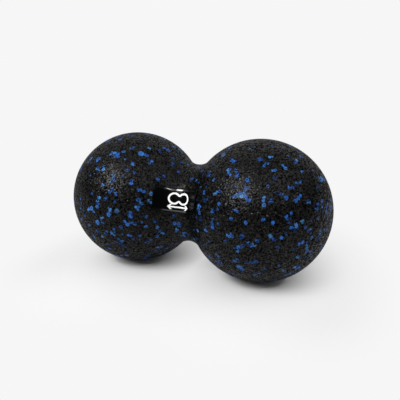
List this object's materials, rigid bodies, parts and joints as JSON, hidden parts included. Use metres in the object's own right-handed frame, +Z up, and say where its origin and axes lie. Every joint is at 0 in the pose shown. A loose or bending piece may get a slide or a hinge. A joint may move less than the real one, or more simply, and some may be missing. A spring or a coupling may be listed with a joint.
{
  "type": "peanut massage ball",
  "caption": "Peanut-shaped foam roller: a ball at each end, joined by a rounded waist in one moulding, with a small label on the waist. Rolled under the back, neck or legs to massage them.",
  "frame": {"origin": "on the floor under the waist, midway between the balls' lowest points", "axes": "+X along the long axis from ball to ball, +Z up, the label on the -Y side"},
  "size_m": [0.238, 0.12, 0.12],
  "materials": {
    "foam": "black expanded polypropylene beads, with scattered blue beads and a fine mould grain",
    "label": "glossy black domed resin with a white print"
  },
  "bodies": {
    "root": {"foam_body": "foam", "waist_label": "label"}
  },
  "joints": []
}
